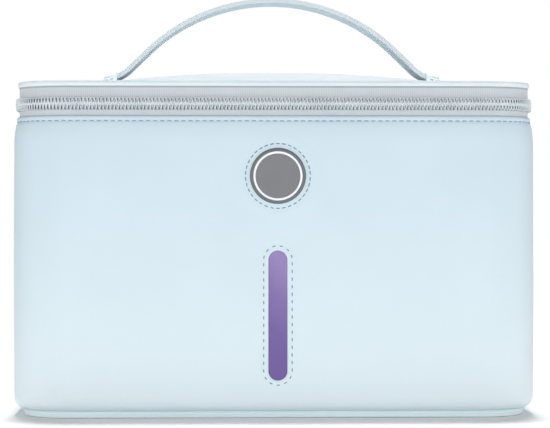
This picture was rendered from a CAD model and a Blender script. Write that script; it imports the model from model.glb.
from math import ceil, cos, hypot, pi, radians, sin, tan

import bmesh
import bpy
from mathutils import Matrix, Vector, noise


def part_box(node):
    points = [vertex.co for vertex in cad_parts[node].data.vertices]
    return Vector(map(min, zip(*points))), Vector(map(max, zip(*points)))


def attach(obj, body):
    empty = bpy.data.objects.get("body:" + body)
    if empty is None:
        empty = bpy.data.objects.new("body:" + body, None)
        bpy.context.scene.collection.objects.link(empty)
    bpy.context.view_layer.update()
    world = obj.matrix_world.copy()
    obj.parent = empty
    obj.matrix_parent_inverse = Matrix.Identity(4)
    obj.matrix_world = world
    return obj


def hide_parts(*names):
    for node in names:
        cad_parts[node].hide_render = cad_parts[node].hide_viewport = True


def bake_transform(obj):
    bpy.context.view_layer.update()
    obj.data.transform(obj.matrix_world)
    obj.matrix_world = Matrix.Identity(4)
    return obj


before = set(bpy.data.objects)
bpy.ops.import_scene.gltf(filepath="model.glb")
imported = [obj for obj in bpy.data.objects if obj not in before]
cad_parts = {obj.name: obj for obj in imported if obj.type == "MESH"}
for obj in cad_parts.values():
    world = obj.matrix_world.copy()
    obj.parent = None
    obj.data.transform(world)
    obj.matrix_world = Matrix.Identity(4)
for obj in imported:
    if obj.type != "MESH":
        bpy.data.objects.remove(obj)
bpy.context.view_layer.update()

# Looks for the zip-up sterilizer case. Everything is in metres in the frame of the CAD model: the origin is
# the centre of the underside, +X the right-hand side, -Y the front, +Z up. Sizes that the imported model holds
# are read from it; the rest are named here, written as millimetres times MM.
MM = 0.001


# ---- the plan of the case ----
def heights_of(node):
    """The lowest and the highest z of a node."""
    return [corner.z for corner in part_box(node)]


def reach_of(node):
    """How far out from the corner centres a node of the ring reaches, measured at its side."""
    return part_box(node)[1].x - corner_x


corner_radius = 34.0 * MM
half_width, half_depth, shell_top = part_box("body_shell")[1]
shell_bottom = heights_of("body_shell")[0]
corner_x = half_width - corner_radius
corner_y = half_depth - corner_radius
front_face, back_face = -half_depth, half_depth
tape_end_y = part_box("lower_zip_tape")[1].y
coil_end_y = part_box("lower_zip_coil")[1].y

base_top = heights_of("base_cap")[1]
hem_top = heights_of("body_hem")[1]
coil_bottom, coil_top = heights_of("lower_zip_coil")[0], heights_of("upper_zip_coil")[1]
zip_height = (coil_bottom + coil_top) / 2
rim_bottom, rim_top = heights_of("lid_rim")
lid_crown = heights_of("lid_shell")[1]

base_reach = reach_of("base_cap")
hem_reach = reach_of("body_hem")
tape_reach = reach_of("lower_zip_tape")
rim_reach = reach_of("lid_rim")


def wall_middle(node, wall):
    """The place on a wall, front or back, in front of a node's middle."""
    low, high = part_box(node)
    return Vector(((low.x + high.x) / 2, wall, (low.z + high.z) / 2))


button_centre = wall_middle("button_bezel", front_face)
window_centre = wall_middle("window_bezel", front_face)
inlet_centre = wall_middle("inlet_collar", back_face)


# ---- colour and nodes ----
def linear(colour):
    """A shader's colour, from three screen values of 0 to 255 or one share of white."""
    if isinstance(colour, float):
        return (colour, colour, colour, 1.0)
    shares = [value / 255 for value in colour]
    return (*(s / 12.92 if s <= 0.04045 else ((s + 0.055) / 1.055) ** 2.4 for s in shares), 1.0)


class Nodes:
    """A node tree, built up a node at a time. A value that is a socket is linked."""

    def __init__(self, tree):
        self.tree = tree

    def feed(self, socket, value):
        """Links or sets one socket."""
        if isinstance(value, bpy.types.NodeSocket):
            self.tree.links.new(value, socket)
        else:
            socket.default_value = value

    def feed_all(self, node, sockets):
        """Feeds a node's sockets by name, with _ for a space."""
        for name, value in sockets.items():
            self.feed(node.inputs[name.replace("_", " ")], value)

    def add(self, kind, settings=None, **sockets):
        """A shader node with its settings and its sockets' values."""
        node = self.tree.nodes.new("ShaderNode" + kind)
        for name, value in (settings or {}).items():
            setattr(node, name, value)
        self.feed_all(node, sockets)
        return node

    def maths(self, operation, first, second=0):
        """One sum on one or two values."""
        node = self.add("Math", {"operation": operation})
        self.feed(node.inputs[0], first)
        self.feed(node.inputs[1], second)
        return node.outputs[0]

    def times(self, first, second):
        """Two values multiplied."""
        return self.maths("MULTIPLY", first, second)

    def plus(self, first, second):
        """Two values added."""
        return self.maths("ADD", first, second)

    def remap(self, value, low, high, new_low=0.0, new_high=1.0):
        """A value stretched from one range to another, held at its ends."""
        node = self.add("MapRange", Value=value, From_Min=low, From_Max=high, To_Min=new_low, To_Max=new_high)
        return node.outputs["Result"]

    def seen(self, *rays):
        """1 for either of two kinds of ray, named as Light Path's sockets are."""
        path = self.add("LightPath").outputs
        return self.maths("MAXIMUM", *(path[ray] for ray in rays))


class Finish(Nodes):
    """One procedural material."""

    mix_colours = (6, 7)
    mix_result = 2

    def __init__(self, name, roughness, **sockets):
        self.material = bpy.data.materials.new(name)
        self.material.use_nodes = True
        super().__init__(self.material.node_tree)
        self.shader = self.tree.nodes["Principled BSDF"]
        self.set(Roughness=roughness, **sockets)
        self.place = self.add("TexCoord").outputs["Object"]

    def set(self, **sockets):
        """Feeds the shader's own sockets."""
        self.feed_all(self.shader, sockets)

    def noise(self, size, detail=3.0, place=None):
        """Soft random patches of about one size."""
        return self.add("TexNoise", Vector=place or self.place, Scale=1 / size, Detail=detail).outputs["Fac"]

    def cells(self, size, feature="F1"):
        """The distance pattern of small cells, as in leather grain."""
        node = self.add("TexVoronoi", {"feature": feature}, Vector=self.place, Scale=1 / size)
        return node.outputs["Distance"]

    def ramp(self, value, *stops):
        """Colours along a value, each stop a place and a colour."""
        node = self.add("ValToRGB", Fac=value)
        line = node.color_ramp.elements
        while len(line) < len(stops):
            line.new(0.5)
        for element, (position, colour) in zip(line, stops):
            element.position = position
            element.color = linear(colour)
        return node.outputs["Color"]

    def mottled(self, value, size, share, detail=3.0):
        """A value with soft patches added to it."""
        return self.plus(value, self.times(self.noise(size, detail), share))

    def carried(self, name):
        """A distance that the mesh carries with it."""
        return self.add("Attribute", {"attribute_name": name}).outputs["Fac"]

    def tint(self, value, *stops):
        """Colours the surface along a value."""
        self.set(Base_Color=self.ramp(value, *stops))

    def blend(self, share, first, second, way="MIX"):
        """Two colours brought together."""
        node = self.add("Mix", {"data_type": "RGBA", "blend_type": way}, Factor=share)
        for index, value in zip(self.mix_colours, (first, second)):
            self.feed(node.inputs[index], value)
        return node.outputs[self.mix_result]

    def bump(self, height, depth, strength):
        """Raises the surface by a height value, depth metres at most."""
        before = self.shader.inputs["Normal"].links
        node = self.add("Bump", Height=height, Strength=strength, Distance=depth)
        if before:
            self.feed(node.inputs["Normal"], before[0].from_socket)
        self.set(Normal=node.outputs["Normal"])

    def yarn_waves(self, name, pitch):
        """Ridges of one yarn width across a carried distance."""
        wave = self.maths("SINE", self.times(self.carried(name), 2 * pi / pitch))
        return self.remap(wave, -1, 1)


def leather(name, light, dark, grain=0.9 * MM, roughness=0.5, sheen=0.15, gloss=0.35, foot=None):
    """Coated leather cloth: patchy colour, pebbled grain, a little sheen, and a colour for its foot."""
    patch, wrinkle, wear = 38 * MM, 4 * MM, 9 * MM
    grain_depth, wrinkle_depth, foot_fall = 0.05 * MM, 0.10 * MM, 1.6
    finish = Finish(name, roughness, Sheen_Weight=sheen, Sheen_Roughness=0.5, Specular_IOR_Level=gloss)
    cloth = finish.ramp(finish.noise(patch, 2.0), (0.3, dark), (0.7, light))
    if foot:
        height = finish.add("SeparateXYZ", Vector=finish.place).outputs["Z"]
        lowness = finish.remap(height, shell_bottom, shell_top, 1.0, 0.0)
        cloth = finish.blend(finish.maths("POWER", lowness, foot_fall), cloth, linear(foot))
    finish.bump(finish.cells(grain), grain_depth, 0.5)
    finish.bump(finish.noise(wrinkle), wrinkle_depth, 0.35)
    worn = finish.remap(finish.noise(wear), 0.3, 0.7, roughness - 0.05, roughness + 0.07)
    finish.set(Base_Color=cloth, Roughness=worn)
    return finish.material


def woven(name, light, dark, shades, warp, weft):
    """Zip tape: a fine plain weave with faint ribs, soiled darker under its edges and between the teeth.

    The shades are pairs of a height and how much of the cloth's colour is left there."""
    mottle, yarn_depth = 9 * MM, 0.08 * MM
    finish = Finish(name, 0.8, Sheen_Weight=0.3, Specular_IOR_Level=0.25)
    ribs = finish.times(finish.yarn_waves("along", warp), 0.6)
    rows = finish.times(finish.yarn_waves("up", weft), 0.25)
    yarn = finish.plus(ribs, rows)
    cloth = finish.ramp(finish.mottled(yarn, mottle, 0.5), (0.1, dark), (1.0, light))
    low, high = shades[0][0], shades[-1][0]
    stops = [((level - low) / (high - low), share) for level, share in shades]
    left = finish.ramp(finish.remap(finish.carried("up"), low, high), *stops)
    finish.set(Base_Color=finish.blend(1.0, cloth, left, "MULTIPLY"))
    finish.bump(yarn, yarn_depth, 0.5)
    return finish.material


def twill(name, light, dark, pitch, depth):
    """Webbing: yarns that cross on the slant, dark in the pits between them."""
    finish = Finish(name, 0.75, Sheen_Weight=0.25, Specular_IOR_Level=0.25)
    yarn = finish.maths("MAXIMUM", finish.yarn_waves("twill_a", pitch), finish.yarn_waves("twill_b", pitch))
    finish.tint(finish.mottled(yarn, 7 * MM, 0.25), (0.35, dark), (1.0, light))
    finish.bump(yarn, depth, 0.4)
    return finish.material


def thread(name, light, dark):
    """Twisted sewing thread."""
    pitch, depth = 0.35 * MM, 0.06 * MM
    finish = Finish(name, 0.6, Sheen_Weight=0.2, Specular_IOR_Level=0.4)
    bands = {"wave_type": "BANDS", "bands_direction": "DIAGONAL", "wave_profile": "SIN"}
    twist = finish.add("TexWave", bands, Vector=finish.place, Scale=pi / (10 * pitch)).outputs["Fac"]
    finish.tint(twist, (0.1, dark), (0.8, light))
    finish.bump(twist, depth, 0.6)
    return finish.material


def moulded(name, light, dark, roughness):
    """Moulded plastic with a fine spark-eroded grain."""
    cloud, grain, wear, grain_depth = 12 * MM, 0.5 * MM, 7 * MM, 0.02 * MM
    finish = Finish(name, roughness)
    finish.tint(finish.noise(cloud), (0.35, dark), (0.65, light))
    finish.set(Roughness=finish.remap(finish.noise(wear), 0.3, 0.7, roughness - 0.04, roughness + 0.06))
    finish.bump(finish.noise(grain, 2.0), grain_depth, 0.4)
    return finish.material


def metal(name, light, dark, roughness):
    """Plated metal with faint brushed streaks."""
    streak, streak_depth = 1.2 * MM, 0.01 * MM
    finish = Finish(name, roughness, Metallic=1.0)
    drawn_out = finish.add("Mapping", Vector=finish.place, Scale=(1.0, 6.0, 6.0)).outputs["Vector"]
    streaks = finish.noise(streak, 4.0, drawn_out)
    finish.tint(streaks, (0.3, dark), (0.7, light))
    finish.set(Roughness=finish.remap(streaks, 0.2, 0.8, roughness - 0.07, roughness + 0.1))
    finish.bump(streaks, streak_depth, 0.3)
    return finish.material


def circuit(name):
    """A circuit board: green lacquer over copper tracks."""
    land, track_share, track_depth = 3 * MM, 0.06, 0.03 * MM
    finish = Finish(name, 0.35, Coat_Weight=0.4)
    tracks = finish.maths("LESS_THAN", finish.cells(land, "DISTANCE_TO_EDGE"), track_share)
    finish.tint(tracks, (0.2, (30, 96, 62)), (0.8, (96, 146, 92)))
    finish.bump(tracks, track_depth, 0.6)
    return finish.material


def speckled(name, roughness, size, *stops, **sockets):
    """A hard surface of two tones, such as quartz or the ceramic of the lamp chips."""
    finish = Finish(name, roughness, **sockets)
    finish.tint(finish.noise(size), *stops)
    return finish.material


def violet_glow(name):
    """The window in the front: violet, lighter at the top, with a satin face."""
    lean, cloud, cloud_height = 1.2, 14 * MM, 6 * MM
    finish = Finish(name, 0.28, Specular_IOR_Level=0.45, Coat_Weight=0.25, Coat_Roughness=0.2)
    parts = finish.add("SeparateXYZ", Vector=finish.place).outputs
    slant = finish.plus(parts["Z"], finish.times(parts["X"], lean))
    level = finish.remap(finish.mottled(slant, cloud, cloud_height, 2.0), *heights_of("window_lens"))
    stops = ((0.0, (96, 66, 152)), (0.4, (98, 70, 152)), (0.72, (116, 90, 163)), (1.0, (137, 114, 178)))
    finish.tint(level, *stops)
    return finish.material


def badge_grey(name, light, dark, roughness):
    """The turned face of the button: grey lacquer with faint rings."""
    cloud, ring_pitch, ring_depth = 9 * MM, 0.6 * MM, 0.01 * MM
    finish = Finish(name, roughness, Specular_IOR_Level=0.4)
    parts = finish.add("SeparateXYZ", Vector=finish.place).outputs
    squares = []
    for axis, middle in (("X", button_centre.x), ("Z", button_centre.z)):
        squares.append(finish.maths("POWER", finish.maths("SUBTRACT", parts[axis], middle), 2.0))
    radius = finish.maths("SQRT", finish.plus(*squares))
    rings = finish.maths("SINE", finish.times(radius, 2 * pi / ring_pitch))
    finish.tint(finish.noise(cloud), (0.3, dark), (0.7, light))
    finish.bump(rings, ring_depth, 0.25)
    return finish.material


# ---- building meshes ----
weld_distance = 0.002 * MM


def show(name, data):
    """An object in the scene."""
    made = bpy.data.objects.new(name, data)
    bpy.context.scene.collection.objects.link(made)
    return made


class Form:
    """Points and faces gathered for one piece, and values that its points carry."""

    def __init__(self, rows=(), closed="", caps=False):
        self.points = []
        self.faces = []
        self.values = {}
        if rows:
            self.grid(rows, closed, caps)

    def grid(self, rows, closed="", caps=False):
        """Adds a net of points in equal rows, closed one way or both; caps close its open ends."""
        height, width = len(rows), len(rows[0])
        wrap_rows, wrap_columns = "rows" in closed, "columns" in closed
        faces = []
        for i in range(height if wrap_rows else height - 1):
            for j in range(width if wrap_columns else width - 1):
                a, b = i * width + j, i * width + (j + 1) % width
                above = (i + 1) % height * width
                faces.append((a, b, above + (j + 1) % width, above + j))
        if caps and wrap_columns:
            faces.append(tuple(reversed(range(width))))
            faces.append(tuple(range((height - 1) * width, height * width)))
        if caps and wrap_rows:
            for i in range(height // 2 - 1):
                rungs = sorted({i, i + 1, height - 2 - i, height - 1 - i})
                faces.append(tuple(k * width for k in rungs))
                faces.append(tuple(k * width + width - 1 for k in reversed(rungs)))
        start = len(self.points)
        self.points.extend(point for row in rows for point in row)
        self.faces.extend(tuple(index + start for index in face) for face in faces)

    def tube(self, path, radii, sides=6):
        """Adds a round tube along a path, with a radius for each point."""
        side = None
        rows = []
        for i, (point, radius) in enumerate(zip(path, radii)):
            ahead = (path[min(i + 1, len(path) - 1)] - path[max(i - 1, 0)]).normalized()
            if side is None:
                side = ahead.orthogonal().normalized()
            side = (side - ahead * side.dot(ahead)).normalized()
            up = ahead.cross(side)
            rows.append([point + (side * cos(a) + up * sin(a)) * radius for a in full_turn(sides)])
        self.grid(rows, "columns", caps=True)

    def piece(self, name, finish, body=None, crease=35, welded=True, work_on=None):
        """Makes the object, smooth but for its sharp edges, once a function given has worked on its mesh."""
        mesh = bpy.data.meshes.new(name)
        mesh.from_pydata([tuple(point) for point in self.points], [], self.faces)
        for title, values in self.values.items():
            mesh.attributes.new(title, "FLOAT", "POINT").data.foreach_set("value", values)
        work = bmesh.new()
        work.from_mesh(mesh)
        if welded:
            bmesh.ops.remove_doubles(work, verts=work.verts, dist=weld_distance)
        bmesh.ops.recalc_face_normals(work, faces=work.faces)
        if work_on:
            work_on(work)
            bmesh.ops.recalc_face_normals(work, faces=work.faces)
        work.to_mesh(mesh)
        work.free()
        for face in mesh.polygons:
            face.use_smooth = True
        mesh.set_sharp_from_angle(angle=radians(crease))
        mesh.materials.append(finish)
        made = show(name, mesh)
        if body:
            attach(made, body)
        return made


def along_walls(step, first=0, count=4, end_y=None):
    """Stations at about one step along some walls and round the corners between them.

    Each is a corner-centre point and the way out from it. Wall 0 is the right-hand side, wall 1 the front.
    Less than a whole ring starts and ends on the sides, at end_y."""
    corners = [(x * corner_x, y * corner_y) for x, y in ((1, 1), (1, -1), (-1, -1), (-1, 1))]
    ways, angles = ((1, 0), (0, -1), (-1, 0), (0, 1)), (0, -90, 180, 90)
    last = None if end_y is None else first + count - 1
    stations = []
    for wall in range(first, first + count):
        (x, y), (to_x, to_y) = corners[wall % 4], corners[(wall + 1) % 4]
        y = end_y if last is not None and wall == first else y
        to_y = end_y if wall == last else to_y
        steps = max(1, ceil(hypot(to_x - x, to_y - y) / step))
        for share in [i / steps for i in range(steps)]:
            stations.append((x + (to_x - x) * share, y + (to_y - y) * share, *ways[wall % 4]))
        if wall == last:
            return [*stations, (to_x, to_y, *ways[wall % 4])]
        steps = max(4, ceil(radians(90) * corner_radius / step))
        for angle in [radians(angles[wall % 4] - 90 * i / steps) for i in range(steps)]:
            stations.append((to_x, to_y, cos(angle), sin(angle)))
    return stations


def outward(station):
    """The way out from a station."""
    return Vector((station[2], station[3], 0))


def at(station, reach, height, scale=1.0):
    """The point at a reach and height on a station; scale shrinks the ring towards the middle."""
    x, y, out_x, out_y = station
    return Vector(((x + out_x * reach) * scale, (y + out_y * reach) * scale, height))


def rings(stations, section, slack=None):
    """A row of points for each reach and height of a section, and sometimes scale.

    Slack gives how far out a point moves, from the point, its reach and height, and its place in the row."""
    rows = []
    for level in section:
        row = [at(station, *level) for station in stations]
        if slack:
            row = [
                point + outward(station) * slack(point, *level, index)
                for index, (point, station) in enumerate(zip(row, stations))
            ]
        rows.append(row)
    return rows


def sheet_section(near, far, low, high, count):
    """A sheet's section, up its near face and down its far one, as reach and height."""
    heights = [low + (high - low) * i / count for i in range(count + 1)]
    return [(near, height) for height in heights] + [(far, height) for height in reversed(heights)]


def shares(count):
    """From 0 to 1 in equal steps."""
    return [i / count for i in range(count + 1)]


def quarter(count):
    """The angles of a quarter turn in equal steps."""
    return [radians(90 * i / count) for i in range(count + 1)]


def full_turn(count):
    """The angles of a full turn in equal steps, without the last."""
    return [2 * pi * i / count for i in range(count)]


def bell(value, centre, width):
    """A smooth bump, 1 at its centre and 0 at its width."""
    share = abs(value - centre) / width
    return 0.0 if share >= 1 else (1 - share * share) ** 2


def held(value, low=0.0, high=1.0):
    """A value kept within its limits."""
    return min(max(value, low), high)


def arc_lengths(points):
    """The distance along a line of points at each of them."""
    lengths = [0.0]
    for before, after in zip(points, points[1:]):
        lengths.append(lengths[-1] + (after - before).length)
    return lengths


def walk(lengths, targets):
    """Where distances in rising order fall on a line: the point before each, and the share of the way on."""
    index = 0
    for target in targets:
        while lengths[index + 1] < target:
            index += 1
        yield index, (target - lengths[index]) / (lengths[index + 1] - lengths[index])


def spaced(points, directions, pitch, closed=False):
    """Places at an even pitch along a line: point, way along and way out at each."""
    if closed:
        points = [*points, points[0]]
        directions = [*directions, directions[0]]
    lengths = arc_lengths(points)
    count = max(1, round(lengths[-1] / pitch))
    pitch = lengths[-1] / count
    for index, share in walk(lengths, [(i + 0.5) * pitch for i in range(count)]):
        along = (points[index + 1] - points[index]).normalized()
        out = directions[index].lerp(directions[index + 1], share).normalized()
        yield points[index].lerp(points[index + 1], share), along, out


def stitch(name, finish, body, seams, thread_size):
    """Rows of stitches, each a short thread that comes up from the leather and goes back in.

    A seam is its line, the ways out, the pitch and length of its stitches and whether the line is closed.
    The thread's size is its radius and how high it lifts."""
    end_sink, end_taper, bends = 1.2, 0.7, (-0.5, -0.42, -0.2, 0.2, 0.42, 0.5)
    radius, lift = thread_size
    form = Form()
    for line, ways, (pitch, length), closed in seams:
        for middle, along, out in spaced(line, ways, pitch, closed):
            path = []
            for share in bends:
                height = lift * (1 - (2 * share) ** 4) - radius * end_sink * (abs(share) == 0.5)
                path.append(middle + along * length * share + out * height)
            form.tube(path, [radius * end_taper, *[radius] * (len(bends) - 2), radius * end_taper])
    form.piece(name, finish, body)


# ---- the leather of the body ----
button_hole_radius = 15.7 * MM
button_stitch_radius = 18.9 * MM
window_hole_radius = 6.0 * MM
window_half_run = 32.4 * MM
window_stitch_radius = 8.3 * MM
window_stitch_half_run = 32.3 * MM
inlet_hole_radius = 6.9 * MM
near_wall = 20 * MM
pull_range = 2.5 * MM
hole_floor, hole_ceiling = shell_bottom + 2 * MM, shell_top - 8 * MM

skin_thickness = 2.2 * MM
top_turn_in = 5.6 * MM
bottom_turn_in = 4 * MM
bottom_round = 7.0 * MM
shoulder_height = 10.5 * MM
shoulder_lean = 1.2 * MM
bottom_lift = 0.02 * MM
wall_rows = 92
facing_front = -0.999
slack_height, slack_wave, slack_size = 0.25 * MM, 0.18 * MM, 55 * MM

# How high the leather stands round the stitches, how far from them that is, and how wide it spreads.
button_padding = ((0.55, -1.2, 2.4), (0.35, 2.6, 5), (-0.50, 0, 1.3))
window_padding = ((0.30, -1.0, 1.8), (0.25, 2.2, 4), (-0.40, 0, 1.2))

front_thread = 0.32 * MM, 0.2 * MM
button_stitch = 3.5 * MM, 2.1 * MM
window_stitch = 4.4 * MM, 1.7 * MM


def apart(x, z, centre, half_run=0.0):
    """How far a place on a wall is from a centre, or from a line up and down from it."""
    return hypot(x - centre.x, max(abs(z - centre.z) - half_run, 0.0))


def front_relief(x, z):
    """How far the front's leather stands out: padded round the button and the window, sewn down between."""
    button, window = apart(x, z, button_centre), apart(x, z, window_centre, window_half_run)
    relief = 0
    for distance, stitches, padding in (
        (button, button_stitch_radius, button_padding), (window, window_stitch_radius, window_padding)
    ):
        for height, offset, width in padding:
            relief += height * MM * bell(distance, stitches + offset * MM, width * MM)
    return relief


def puffiness(point, height):
    """The slack of the leather over the foam: a slow wave and a fuller middle."""
    share = held((height - shell_bottom) / (shell_top - shell_bottom))
    return (slack_height + slack_wave * noise.noise(point / slack_size)) * sin(pi * share)


def on_front(x, z):
    """The point on the leather of the front at a place."""
    flat = Vector((x, front_face, z))
    return flat - Vector((0, puffiness(flat, z) + front_relief(x, z), 0))


def body_section():
    """Reach and height down the side of the body, from its top edge to under its bottom round."""
    shoulder, low = shell_top - shoulder_height, shell_bottom + bottom_round
    section = [(corner_radius - top_turn_in, shell_top), (corner_radius - shoulder_lean, shell_top)]
    for share in shares(6)[1:]:
        lean = shoulder_lean * (1 - share) ** 2
        section.append((corner_radius - lean, shell_top + (shoulder - shell_top) * share))
    for i in range(1, wall_rows):
        section.append((corner_radius, shoulder + (low - shoulder) * i / wall_rows))
    for angle in quarter(8):
        section.append((corner_radius - bottom_round * (1 - cos(angle)), low - bottom_round * sin(angle)))
    section.append((corner_radius - bottom_round - bottom_turn_in, shell_bottom + bottom_lift))
    return section


def open_hole(work, centre, radius, half_run):
    """Cuts a round hole or a slot in a wall, with its edge on the outline."""
    cut = []
    for face in work.faces:
        middle = face.calc_center_median()
        if abs(middle.y - centre.y) < near_wall and apart(middle.x, middle.z, centre, half_run) < radius:
            cut.append(face)
    bmesh.ops.delete(work, geom=cut, context="FACES")
    for vert in work.verts:
        on_wall = abs(vert.co.y - centre.y) < pull_range and hole_floor < vert.co.z < hole_ceiling
        level = held(vert.co.z, centre.z - half_run, centre.z + half_run)
        across = Vector((vert.co.x - centre.x, vert.co.z - level))
        if vert.is_boundary and on_wall and 0 < across.length < radius + pull_range:
            across = across.normalized() * radius
            vert.co.x, vert.co.z = centre.x + across.x, level + across.y


def hollow_body(work):
    """Opens the holes for the button, window and inlet, and gives the leather its thickness inwards."""
    open_hole(work, button_centre, button_hole_radius, 0.0)
    open_hole(work, window_centre, window_hole_radius, window_half_run)
    open_hole(work, inlet_centre, inlet_hole_radius, 0.0)
    level = Vector((1, 1, 0))
    facing_out = sum(face.normal.dot(face.calc_center_median() * level) > 0 for face in work.faces)
    if facing_out * 2 < len(work.faces):
        bmesh.ops.reverse_faces(work, faces=work.faces)
    bmesh.ops.solidify(work, geom=work.faces[:], thickness=skin_thickness)


def body_cover(finish):
    """The leather over the box: taut walls and soft shoulders."""
    stations = along_walls(1.7 * MM)

    def slack(point, reach, height, index):
        grown = puffiness(point, height)
        if stations[index][3] < facing_front:
            grown += front_relief(point.x, point.z)
        return grown

    form = Form(rings(stations, body_section(), slack), "columns")
    made = form.piece(
        "body_cover", finish, "case", crease=45, welded=False, work_on=hollow_body
    )
    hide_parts("body_shell")


def front_stitches(finish):
    """The sewing round the button and round the window."""
    circle, slot_line = [], []
    for angle in full_turn(72):
        x = button_centre.x + button_stitch_radius * cos(angle)
        circle.append(on_front(x, button_centre.z + button_stitch_radius * sin(angle)))
    for side in (1, -1):
        for angle in [radians(180 * i / 24) for i in range(25)]:
            x = window_centre.x + side * window_stitch_radius * cos(angle)
            up = side * (window_stitch_half_run + window_stitch_radius * sin(angle))
            slot_line.append(on_front(x, window_centre.z + up))
    out = [Vector((0, -1, 0))]
    seams = (
        (circle, out * len(circle), button_stitch, True),
        (slot_line, out * len(slot_line), window_stitch, True),
    )
    stitch("front_stitches", finish, "case", seams, front_thread)


# ---- the base, the hem and the rim ----
base_inset, base_shoulder = 8 * MM, 1.2 * MM
base_bulge, base_drop, base_wall = 0.5 * MM, 0.2 * MM, 2.0 * MM
base_edge_width, base_edge_height = 1.7 * MM, 1.75 * MM
binding_gap = 0.06 * MM
binding_wave, binding_wave_size = 0.06 * MM, 9 * MM

hem_lift = 0.02 * MM
hem_back, hem_crown = 0.95 * MM, 0.55 * MM
hem_dip, hem_dip_width = 0.45 * MM, 0.9 * MM
hem_stitch_height = shell_top + 1.5 * MM
hem_stitch_inset = 0.84 * MM
hem_stitch = 4.11 * MM, 2.3 * MM
hem_thread = 0.38 * MM, 0.2 * MM

rim_drop, rim_rise, rim_crown = 0.3 * MM, 0.15 * MM, 0.75 * MM


def base_pad(finish):
    """The leather-covered base: a soft edge below, and a flat underside."""
    section = [(base_reach - base_inset, base_top), (base_reach - base_shoulder, base_top)]
    for share in shares(6):
        bulge = base_bulge * (2 * share - 1) ** 2
        section.append((base_reach - bulge, base_top - base_drop - base_wall * share))
    for angle in quarter(5)[1:]:
        reach = base_reach - base_bulge - base_edge_width * (1 - cos(angle))
        section.append((reach, base_edge_height * (1 - sin(angle))))
    section += [(base_reach, 0.0, scale) for scale in (0.9, 0.5, 0.05)]
    form = Form(rings(along_walls(3 * MM), section), "columns", caps=True)
    made = form.piece("base_pad", finish, "case")
    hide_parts("base_cap")


def seam_cord(name, finish, body, reach, height, half_wide, half_tall):
    """A cord of leather or thread sewn into a seam all round the case."""
    section = [(reach + half_wide * cos(angle), height + half_tall * sin(angle)) for angle in full_turn(8)]
    form = Form(rings(along_walls(2.5 * MM), section), "rows columns")
    form.piece(name, finish, body)


def binding(name, finish, body, node, step, section):
    """A soft strip all round the case, a little uneven as sewn leather is."""
    def slack(point, reach, height, index):
        return binding_wave * noise.noise(point / binding_wave_size)

    form = Form(rings(along_walls(step), section, slack), "rows columns")
    made = form.piece(name, finish, body, crease=50)
    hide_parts(node)


def hem_section():
    """The turned edge of the body leather: full above and below, drawn in along its stitches."""
    near = tape_reach + binding_gap
    section = [(near, shell_top + hem_lift), (near, hem_top)]
    for share in shares(14):
        height = hem_top + (shell_top - hem_top) * share
        crown = hem_crown * (1 - max(1 - 2 * share, 0.0) ** 3)
        dip = hem_dip * bell(height, hem_stitch_height, hem_dip_width)
        section.append((hem_reach - hem_back + crown - dip, height))
    return section


def rim_section():
    """The rolled edge of the lid, pinched at the seam above it."""
    near = tape_reach + binding_gap
    bottom, top = rim_bottom - rim_drop, rim_top + rim_rise
    section = [(near, bottom), (near, top)]
    for share in shares(12):
        crown = rim_crown * (1 - abs(2 * share - 1) ** 2.6)
        section.append((rim_reach - rim_crown + crown, top + (bottom - top) * share))
    return section


def hem_stitches(finish):
    """The dashed line of stitches along the hem."""
    stations = along_walls(1.5 * MM)
    line = [at(station, hem_reach - hem_stitch_inset, hem_stitch_height) for station in stations]
    seam = (line, [outward(station) for station in stations], hem_stitch, True)
    stitch("hem_stitches", finish, "case", [seam], hem_thread)


# ---- the zip ----
front_run, back_run = (0, 3), (2, 3)
tape_back = tape_reach - 1.0 * MM
tape_wave, tape_wave_size, tape_sink, tape_rib = 0.12 * MM, 14 * MM, 0.10 * MM, 0.05 * MM
tooth_pitch = 2.1 * MM
coil_reach = tape_reach + 1.05 * MM
coil_overlap = 0.55 * MM
coil_wire = 0.42 * MM
coil_thinnest, coil_swell, coil_swell_power = 0.9, 0.6, 5
coil_depth = 0.5 * MM
coil_root_inset = 0.3 * MM
coil_head_lean = 0.2 * MM
coil_steps = 12

thread_level = 3.15 * MM
thread_rise = 0.62 * MM
thread_half, thread_tilt, thread_sink = 0.75 * MM, 0.35 * MM, 0.5 * MM
thread_radii = (0.2 * MM, 0.32 * MM, 0.2 * MM)

hinge_overrun = 0.2 * MM
hinge_wave, hinge_wave_size, hinge_sink = 0.15 * MM, 12 * MM, 0.1 * MM
hinge_crease, hinge_crease_width = 0.35 * MM, 1.6 * MM


def zip_tape(name, finish, body, node):
    """A woven tape from end to end of the zip, ribbed, with a slightly wavy face."""
    def slack(point, reach, height, index):
        if reach != tape_reach:
            return 0
        return tape_wave * noise.noise(point / tape_wave_size) - tape_sink + tape_rib * (index % 2)

    stations = along_walls(1.0 * MM, *front_run, tape_end_y)
    section = sheet_section(tape_back, tape_reach, *heights_of(node), 12)
    form = Form(rings(stations, section, slack), "rows", caps=True)
    lengths = arc_lengths([at(station, tape_reach, 0.0) for station in stations])
    form.values["along"] = lengths * len(section)
    form.values["up"] = [height for _, height in section for _ in stations]
    made = form.piece(name, finish, body)
    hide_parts(node)


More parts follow.
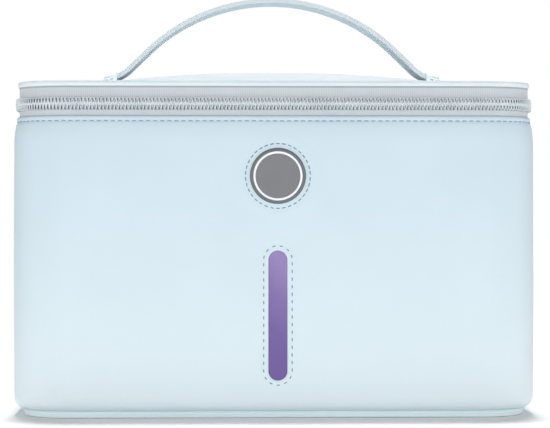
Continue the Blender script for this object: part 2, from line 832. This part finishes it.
def coil_path(stations, upper):
    """One coil's line: a flattened helix whose heads reach past the middle of the zip."""
    base = [at(station, coil_reach, 0.0) for station in stations]
    lengths = arc_lengths(base)
    turns = round(lengths[-1] / tooth_pitch)
    root = coil_top - coil_root_inset if upper else coil_bottom + coil_root_inset
    head = zip_height - coil_overlap if upper else zip_height + coil_overlap
    path = []
    steps = range(turns * coil_steps + 1)
    targets = [min(i / coil_steps / turns * lengths[-1], lengths[-1] - 1e-9) for i in steps]
    for i, (index, share) in enumerate(walk(lengths, targets)):
        angle = 2 * pi * (i / coil_steps + (0.5 if upper else 0.0))
        out = outward(stations[index]).lerp(outward(stations[index + 1]), share).normalized()
        reach_across = (1 - cos(angle)) / 2
        middle = base[index].lerp(base[index + 1], share)
        middle.z = root + (head - root) * reach_across
        path.append(middle + out * (coil_head_lean * reach_across - coil_depth * sin(angle)))
    return path


def zip_coil(name, finish, body, node, upper):
    """One side of the zip: its coil of wire, fuller at each head."""
    path = coil_path(along_walls(1.5 * MM, *front_run, coil_end_y), upper)
    root = coil_top if upper else coil_bottom
    radii = []
    for point in path:
        share = min(abs(point.z - root) / (coil_top - zip_height), 1.0)
        radii.append(coil_wire * (coil_thinnest + coil_swell * share**coil_swell_power))
    form = Form()
    form.tube(path, radii, sides=8)
    made = form.piece(name, finish, body, welded=False)
    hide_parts(node)


def coil_thread(name, finish, body, way):
    """The stitches that hold one coil to its tape, one over the root of each tooth."""
    stations = along_walls(1.5 * MM, *front_run, coil_end_y)
    line = [at(station, coil_reach + thread_rise, zip_height + way * thread_level) for station in stations]
    tilt = Vector((0, 0, 1)) * thread_tilt * way
    form = Form()
    for middle, along, out in spaced(line, [outward(station) for station in stations], tooth_pitch):
        start = middle - along * thread_half + tilt - out * thread_sink
        end = middle + along * thread_half - tilt - out * thread_sink
        form.tube([start, middle, end], thread_radii)
    form.piece(name, finish, body, welded=False)


def back_hinge(finish):
    """The leather strip round the back that the lid hinges on."""
    def slack(point, reach, height, index):
        if reach != tape_reach:
            return 0
        crease = hinge_crease * bell(height, zip_height, hinge_crease_width)
        return hinge_wave * noise.noise(point / hinge_wave_size) - hinge_sink - crease

    low, high = heights_of("lower_hinge_strip")[0], heights_of("upper_hinge_strip")[1]
    stations = along_walls(2.0 * MM, *back_run, tape_end_y + hinge_overrun)
    rows = rings(stations, sheet_section(tape_back, tape_reach, low, high, 24), slack)
    made = Form(rows, "rows", caps=True).piece("back_hinge", finish)
    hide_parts("lower_hinge_strip", "upper_hinge_strip")
    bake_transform(made)


# ---- the lid ----
lid_reach = 31.6 * MM
lid_edge_top = rim_top + 0.5 * MM
lid_edge_drop, lid_edge_inset = 0.35 * MM, 0.5 * MM
lid_slack = 1.3 * MM
lid_wave, lid_wave_size = 0.2 * MM, 40 * MM
lid_plug_reach = 29.9 * MM
lid_wall_near = 26.0 * MM
lid_ceiling = rim_bottom + 0.6 * MM
lid_rings, lid_first_ring = 48, 0.03


def swell(share):
    """How full the padding is on the way from the middle of the lid, 0, to its edge, 1."""
    return (1 - min(share, 1.0) ** 3) ** 3


def lid_height(x, y):
    """The height of the lid's leather: full in the middle, drawn down flat to its sewn edge."""
    fullness = swell(abs(x) / (corner_x + lid_reach)) * swell(abs(y) / (corner_y + lid_reach))
    return lid_edge_top + (lid_crown - lid_slack - lid_edge_top) * fullness


def lid_cover(finish):
    """The leather of the lid: arched both ways, with the foam rim that drops into the case."""
    stations = along_walls(3 * MM)
    growth = [lid_first_ring + (1 - lid_first_ring) * i / (lid_rings - 1) for i in range(lid_rings)]
    arch = [(lid_reach, lid_crown, scale) for scale in growth]
    under = [
        (lid_reach, lid_edge_top - lid_edge_drop), (lid_reach - lid_edge_inset, rim_top),
        (lid_plug_reach, rim_top), (lid_plug_reach, rim_bottom),
        (lid_wall_near, rim_bottom), (lid_wall_near, lid_ceiling), (lid_wall_near, lid_ceiling, 0.05),
    ]
    rows = rings(stations, arch + under)
    for point in [point for row in rows[:lid_rings] for point in row]:
        point.z = lid_height(point.x, point.y) + lid_wave * noise.noise(point / lid_wave_size)
    form = Form(rows, "columns", caps=True)
    made = form.piece("lid_cover", finish, "lid", crease=40)
    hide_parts("lid_shell")


# ---- the strap ----
strap_width = 28.0 * MM
strap_thickness = 2.8 * MM
strap_foot_x = 94.4 * MM
strap_crown_radius = 110.6 * MM
strap_flank = radians(44.0)
strap_root_radius = 24.0 * MM
strap_tail = radians(5.0)
strap_tail_length = 9.5 * MM
strap_split, strap_top = heights_of("strap_arch")
weave_pitch = 1.7 * MM
weave_step = 0.5 * MM
face_sink = 0.05 * MM
float_rise, pit_depth = 0.04, 0.01
selvedge_rise, selvedge_fall = 0.05 * MM, 0.03 * MM
selvedge_middle, selvedge_width, selvedge_edge, weave_edge = 0.07, 0.05, 0.025, 0.09
selvedge_normal = 0.75

cover_mouth = 96.0 * MM
cover_length = 17.0 * MM
cover_end = cover_mouth + cover_length
cover_half = 18.0 * MM
cover_corner, cover_run_in = 9.0 * MM, 3 * MM
cover_leather = 1.0 * MM
cover_edge_share, cover_edge_width = 0.8, 0.8 * MM
cover_flank_start, cover_flank = 0.5 * MM, 4.5 * MM
cover_sink = 0.4 * MM
patch_stitch_inset, patch_stitch_start = 2.4 * MM, 1.5 * MM
patch_stitch = 3.4 * MM, 2.1 * MM
patch_thread = 0.3 * MM, 0.14 * MM
groove_depth, groove_width = 0.25 * MM, 0.9 * MM
words = {1: "right", -1: "left"}


def strap_half():
    """Half of the strap's middle line, from the crown to the right-hand tail: x, height and slope."""
    crown = strap_crown_radius * strap_flank
    root = strap_root_radius * (strap_flank - strap_tail)
    root_tangent = strap_root_radius * tan((strap_flank - strap_tail) / 2)
    flank = strap_foot_x / cos(strap_flank) - strap_crown_radius * tan(strap_flank) - root_tangent
    x, z = 0.0, strap_top - strap_thickness / 2
    line = [(x, z, 0.0)]
    for length, first, last in (
        (crown, 0.0, -strap_flank),
        (flank, -strap_flank, -strap_flank),
        (root, -strap_flank, -strap_tail),
        (strap_tail_length - root_tangent, -strap_tail, -strap_tail),
    ):
        count = ceil(length / weave_step)
        for i in range(count):
            slope = first + (last - first) * (i + 0.5) / count
            x += cos(slope) * length / count
            z += sin(slope) * length / count
            line.append((x, z, first + (last - first) * (i + 1) / count))
    return line


def weave(along, across):
    """The height of the webbing's face: a twill of short floats."""
    row = across / weave_pitch
    slant = along / weave_pitch + 0.5 * (int(row // 1) % 2)
    return (float_rise * abs(sin(pi * slant)) * abs(sin(pi * row)) - pit_depth) * MM


def strap_webbing(finish, edge_finish):
    """The carrying strap: one woven band, thicker along its edges, bent as it stands."""
    right = strap_half()
    line = [(-x, z, -slope) for x, z, slope in reversed(right[1:])] + right
    half = strap_width / 2
    count = round(strap_width / weave_step)
    form = Form()
    twill_a, twill_b = form.values["twill_a"], form.values["twill_b"] = [], []
    rows = []
    along = 0.0
    for index, (x, z, slope) in enumerate(line):
        if index:
            along += hypot(x - line[index - 1][0], z - line[index - 1][1])
        up = Vector((-sin(slope), 0, cos(slope)))
        row = []
        for face in (1, -1):
            for i in range(count + 1):
                across = (-half + strap_width * i / count) * face
                edge = 1 - abs(across) / half
                height = strap_thickness / 2 - face_sink + weave(along, across) * min(edge / weave_edge, 1.0)
                height += selvedge_rise * bell(edge, selvedge_middle, selvedge_width)
                height -= (1 - min(edge / selvedge_edge, 1.0)) ** 2 * selvedge_fall
                row.append(Vector((x, 0, z)) + Vector((0, across, 0)) + up * face * height)
                twill_a.append(along + across)
                twill_b.append(along - across)
        rows.append(row)
    form.grid(rows, "columns", caps=True)
    made = form.piece("strap_webbing", finish, crease=50)
    made.data.materials.append(edge_finish)
    for face in made.data.polygons:
        if abs(face.normal.y) > selvedge_normal:
            face.material_index = 1
    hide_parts("strap_arch", "strap_root_left", "strap_root_right")
    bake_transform(made)


def strap_tail_top(x):
    """The top face of the strap where it runs under its leather cover."""
    line = strap_half()
    for before, after in zip(line, line[1:]):
        if before[0] <= x <= after[0]:
            share = (x - before[0]) / (after[0] - before[0])
            return before[1] + (after[1] - before[1]) * share + strap_thickness / 2 / cos(before[2])
    return line[-1][1]


def cover_inset(x, y):
    """How far a place lies inside the edge of the leather cover, negative outside."""
    from_end, from_side = cover_end - x, cover_half - abs(y)
    if from_end < cover_corner and from_side < cover_corner:
        return cover_corner - hypot(cover_corner - from_end, cover_corner - from_side)
    return min(from_end, from_side, x - cover_mouth + cover_run_in)


def cover_height(x, y):
    """The top of the cover: over the strap in the middle, down on the lid at its edges."""
    on_lid = lid_height(x, y)
    over_strap = max(strap_tail_top(x), on_lid) + cover_leather
    side = held((cover_half - abs(y) - cover_flank_start) / cover_flank)
    share = side * side * (3 - 2 * side) * held((cover_end - x) / cover_length)
    inset = cover_inset(x, y)
    edge = cover_leather * cover_edge_share * held(inset / cover_edge_width) ** 0.5
    rise = (over_strap - on_lid - cover_leather * cover_edge_share) * share * (edge > 0)
    return on_lid + edge + rise - groove_depth * bell(inset, patch_stitch_inset, groove_width)


def strap_cover(side, finish):
    """The leather patch sewn over one end of the strap."""
    columns, rows = 34, 60
    top, low = [], []
    for i in range(rows + 1):
        line = []
        for j in range(columns + 1):
            x = cover_mouth + cover_length * j / columns
            past = x - (cover_end - cover_corner)
            limit = cover_half
            if past > 0:
                limit += max(cover_corner**2 - past**2, 0.0) ** 0.5 - cover_corner
            y = limit * (2 * i / rows - 1)
            line.append(Vector((side * x, y, cover_height(x, y))))
        top.append(line)
        low.append([Vector((p.x, p.y, lid_height(abs(p.x), p.y) - cover_sink)) for p in line])
    form = Form(top)
    form.grid(low)
    width = columns + 1
    below = len(top) * width
    border = list(range(width))
    border += [i * width + columns for i in range(1, rows + 1)]
    border += [rows * width + j for j in reversed(range(columns))]
    border += [i * width for i in reversed(range(1, rows))]
    for a, b in zip(border, border[1:] + border[:1]):
        form.faces.append((a, b, b + below, a + below))
    made = form.piece(f"strap_patch_{words[side]}", finish, "lid", crease=50)
    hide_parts(f"strap_cover_{words[side]}")


def patch_stitches(side, finish):
    """The sewing round a strap cover."""
    first, run = cover_mouth + patch_stitch_start, cover_length - cover_corner - patch_stitch_start
    line = [(first + run * i / 8, -(cover_half - patch_stitch_inset)) for i in range(9)]
    radius = cover_corner - patch_stitch_inset
    for angle in [radians(-90 + 90 * i / 12) for i in range(1, 12)]:
        line.append((
            cover_end - cover_corner + radius * cos(angle), -(cover_half - cover_corner) + radius * sin(angle)
        ))
    line += [(x, -y) for x, y in reversed(line)]
    points = [Vector((side * x, y, cover_height(x, y))) for x, y in line]
    seam = (points, [Vector((0, 0, 1))] * len(points), patch_stitch, False)
    stitch(f"patch_stitches_{words[side]}", finish, "lid", [seam], patch_thread)


# ---- the lining and the button ----
lining_thickness = 0.8 * MM
rumple_height, rumple_size = 0.16 * MM, 11 * MM
ring_width, ring_gap = 1.25 * MM, 0.1 * MM
ring_edge, ring_face, ring_edge_face, ring_root = 0.1 * MM, -0.14, -0.08, 0.4


def chamber_lining(finish):
    """The wipe-clean lining of the chamber, a little rumpled over its foam."""
    low, high = heights_of("chamber_liner")
    outside = reach_of("chamber_liner")
    inside = outside - lining_thickness

    def slack(point, reach, height, index):
        if reach == outside:
            return 0
        return rumple_height * noise.noise(point / rumple_size) * sin(pi * (height - low) / (high - low))

    rows = rings(along_walls(2.5 * MM), sheet_section(inside, outside, low, high, 60), slack)
    form = Form(rows, "rows columns")
    made = form.piece("chamber_lining", finish, "case", crease=60)
    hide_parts("chamber_liner")


def button_ring(finish):
    """The white ring let into the face of the button."""
    low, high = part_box("button_cap")
    outer = (high.x - low.x) / 2 - ring_gap
    inner = outer - ring_width
    section = [
        (inner, ring_root), (inner, ring_edge_face), (inner + ring_edge, ring_face),
        (outer - ring_edge, ring_face), (outer, ring_edge_face), (outer, ring_root),
    ]
    rows = []
    for angle in full_turn(96):
        row = []
        for radius, depth in section:
            x, z = button_centre.x + radius * cos(angle), button_centre.z + radius * sin(angle)
            row.append(Vector((x, low.y + depth * MM, z)))
        rows.append(row)
    form = Form(rows, "rows columns")
    form.piece("button_ring", finish, "button", crease=30)


# ---- finishes on the pieces ----
hem_finish = leather("hem_leather", (212, 230, 239), (205, 225, 236))
rim_finish = leather("rim_leather", (232, 243, 246), (226, 239, 244))
# What is left of the tape's colour at each height: over the hem, behind the coils and under the rim.
tape_shades = [
    (level + offset * MM, share)
    for level, steps in (
        (hem_top, ((-0.2, 0.6), (0.1, 0.65), (0.9, 1.0))),
        (zip_height, ((-3.9, 1.0), (-3.4, 0.3), (-2.4, 0.3), (-1.3, 0.45))),
        (zip_height, ((1.3, 0.45), (2.3, 0.4), (2.9, 0.5), (3.3, 1.0))),
        (rim_bottom, ((-1.6, 1.0), (-0.9, 0.66), (0.1, 0.6))),
    )
    for offset, share in steps
]
tape_finish = woven("zip_tape", (212, 219, 225), (194, 202, 209), tape_shades, 1.05 * MM, 0.7 * MM)
coil_finish = moulded("zip_coil", (224, 232, 235), (210, 219, 224), 0.35)
coil_thread_finish = thread("coil_thread", (214, 221, 226), (192, 202, 208))
hem_thread_finish = thread("hem_thread", (156, 188, 204), (128, 164, 184))

body_cover(leather("body_leather", (212, 231, 241), (209, 228, 238), foot=(232, 246, 251)))
front_stitches(thread("front_thread", (120, 156, 170), (92, 130, 146)))
base_pad(leather("base_leather", (240, 252, 255), (236, 250, 255)))
seam_cord(
    "base_piping", leather("piping_leather", (228, 250, 255), (220, 246, 255)), "case",
    base_reach + 0.1 * MM, base_top - 0.35 * MM, 0.5 * MM, 0.5 * MM,
)
binding("hem_binding", hem_finish, "case", "body_hem", 1.5 * MM, hem_section())
hem_stitches(hem_thread_finish)
zip_tape("lower_tape", tape_finish, "case", "lower_zip_tape")
zip_tape("upper_tape", tape_finish, "lid", "upper_zip_tape")
zip_coil("lower_coil", coil_finish, "case", "lower_zip_coil", False)
zip_coil("upper_coil", coil_finish, "lid", "upper_zip_coil", True)
coil_thread("lower_coil_thread", coil_thread_finish, "case", -1)
coil_thread("upper_coil_thread", coil_thread_finish, "lid", 1)
back_hinge(leather("hinge_leather", (206, 228, 239), (196, 221, 234)))
binding("rim_binding", rim_finish, "lid", "lid_rim", 2 * MM, rim_section())
seam_cord(
    "lid_seam", thread("lid_seam_thread", (192, 207, 220), (176, 194, 210)), "lid",
    rim_reach - 1.0 * MM, rim_top + 0.28 * MM, 0.42 * MM, 0.34 * MM,
)
lid_cover(leather("lid_leather", (233, 242, 246), (227, 238, 244), sheen=0.0, gloss=0.12))
strap_webbing(
    twill("strap_webbing", (212, 227, 234), (178, 198, 208), 2.4 * MM, 0.05 * MM),
    twill("strap_selvedge", (219, 228, 232), (204, 216, 222), 1.2 * MM, 0.01 * MM),
)
for side in (-1, 1):
    strap_cover(side, rim_finish)
    patch_stitches(side, hem_thread_finish)
chamber_lining(leather("lining_cloth", (226, 232, 236), (214, 222, 228), 1.6 * MM, 0.3))
button_ring(moulded("ring_white", (250, 252, 253), (244, 247, 249), 0.3))

clear_tones = (0.3, (226, 232, 250)), (0.7, (240, 244, 255))
quartz = speckled("quartz_glass", 0.05, 9 * MM, *clear_tones, Transmission_Weight=0.85, IOR=1.46)
lamp_chip = speckled("lamp_chip", 0.35, 1.2 * MM, (0.4, (232, 226, 208)), (0.6, (222, 200, 120)))
node_finishes = (
    (metal("zip_metal", (206, 210, 214), (184, 190, 196), 0.25), "zip_stop zip_slider zip_pull"),
    (moulded("panel_plastic", (224, 229, 232), (216, 222, 225), 0.4),
     "base_lamp_panel lid_lamp_panel control_housing"),
    (quartz, "base_lamp_glasses lid_lamp_glasses light_guide"),
    (circuit("circuit_board"),
     "base_lamp_board lid_lamp_board front_board control_board lid_sensor_board"),
    (lamp_chip, "base_lamps lid_lamps indicator_lamps"),
    (metal("bright_steel", (205, 208, 212), (178, 182, 188), 0.28),
     "base_panel_screws lid_panel_screws housing_screws handle_backing_plates handle_rivets"),
    (moulded("inner_plastic", (222, 227, 230), (212, 218, 222), 0.45),
     "button_nut board_spacers control_frame"),
    (metal("magnet_plating", (170, 172, 176), (150, 152, 156), 0.35), "lid_sensor_magnet"),
    (moulded("dark_plastic", (70, 74, 80), (58, 62, 68), 0.4), "power_jack switch_body"),
    (moulded("collar_plastic", (150, 160, 168), (140, 150, 158), 0.4), "inlet_collar"),
    (moulded("ribbon_plastic", (214, 220, 226), (198, 206, 214), 0.5), "front_harness"),
    (violet_glow("violet_window"), "window_lens"),
    (moulded("window_lip", (226, 238, 246), (220, 234, 243), 0.35), "window_bezel"),
    (badge_grey("button_bezel_grey", (106, 115, 120), (100, 109, 115), 0.38), "button_bezel"),
    (badge_grey("button_cap_grey", (124, 125, 129), (120, 121, 125), 0.45), "button_cap"),
    (moulded("plunger_plastic", (210, 214, 218), (200, 205, 210), 0.45), "switch_plunger"),
)
for finish, names in node_finishes:
    for name in names.split():
        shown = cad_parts[name]
        shown.data.materials.clear()
        shown.data.materials.append(finish)


# ---- floor, light and camera ----
floor_reach = 9.0
floor_drop = 0.15 * MM
floor_own, floor_glow = 0.94, 0.04
sky_strength = 0.22

# Strength, spread, azimuth and elevation; azimuth 0 is the front, 90 the right-hand side.
suns = {
    "top": (2.28, 8, 180, 80),
    "front": (1.55, 40, 0, 5),
    "left": (0.48, 30, -78, 8),
    "right": (0.48, 30, 78, 8),
}

view_height = 119.5 * MM
view_middle = -0.7 * MM
view_distance = 1280 * MM
view_azimuth = radians(-1.8)
focal_pixels = 2195
picture_width = 550
sensor_width = 36.0
farthest = 30


def floor():
    """The plain pale floor, white to the eye, which still takes the shadow of the object."""
    mesh = bpy.data.meshes.new("floor")
    corners = [(x * floor_reach, y * floor_reach, 0) for x, y in ((-1, -1), (1, -1), (1, 1), (-1, 1))]
    mesh.from_pydata(corners, [], [(0, 1, 2, 3)])
    material = bpy.data.materials.new("floor_white")
    material.use_nodes = True
    nodes = Nodes(material.node_tree)
    nodes.tree.nodes.clear()
    glow = nodes.times(nodes.seen("Is Camera Ray", "Is Glossy Ray"), floor_glow)
    both = nodes.add("AddShader")
    nodes.feed(both.inputs[0], nodes.add("BsdfDiffuse", Color=linear(floor_own)).outputs[0])
    nodes.feed(both.inputs[1], nodes.add("Emission", Color=linear(1.0), Strength=glow).outputs[0])
    nodes.add("OutputMaterial", Surface=both.outputs[0])
    mesh.materials.append(material)
    made = show("floor", mesh)
    made.location.z = -floor_drop


def sky():
    """Even light from all round, seen as white."""
    world = bpy.data.worlds.new("studio")
    bpy.context.scene.world = world
    world.use_nodes = True
    nodes = Nodes(world.node_tree)
    seen = nodes.seen("Is Camera Ray", "Is Transmission Ray")
    strength = nodes.remap(seen, 0.0, 1.0, sky_strength)
    nodes.feed_all(nodes.tree.nodes["Background"], {"Color": linear(1.0), "Strength": strength})


def sun(name, strength, spread, azimuth, elevation):
    """A broad soft light from one direction, in degrees."""
    light = bpy.data.lights.new(name, "SUN")
    light.energy = strength
    light.angle = radians(spread)
    turned, lift = radians(azimuth), radians(elevation)
    source = Vector((sin(turned) * cos(lift), -cos(turned) * cos(lift), sin(lift)))
    show(name, light).rotation_euler = source.to_track_quat("Z", "Y").to_euler()


def camera():
    """The photograph's view: level, far off, a touch to the left."""
    data = bpy.data.cameras.new("camera")
    data.lens = focal_pixels / picture_width * sensor_width
    data.sensor_width = sensor_width
    data.clip_end = farthest
    away = Vector((sin(view_azimuth), -cos(view_azimuth), 0))
    made = show("camera", data)
    made.location = Vector((view_middle, front_face, view_height)) + away * view_distance
    made.rotation_euler = away.to_track_quat("Z", "Y").to_euler()
    bpy.context.scene.camera = made


floor()
sky()
for name, settings in suns.items():
    sun(name, *settings)
camera()
bpy.context.scene.view_settings.view_transform = "Standard"
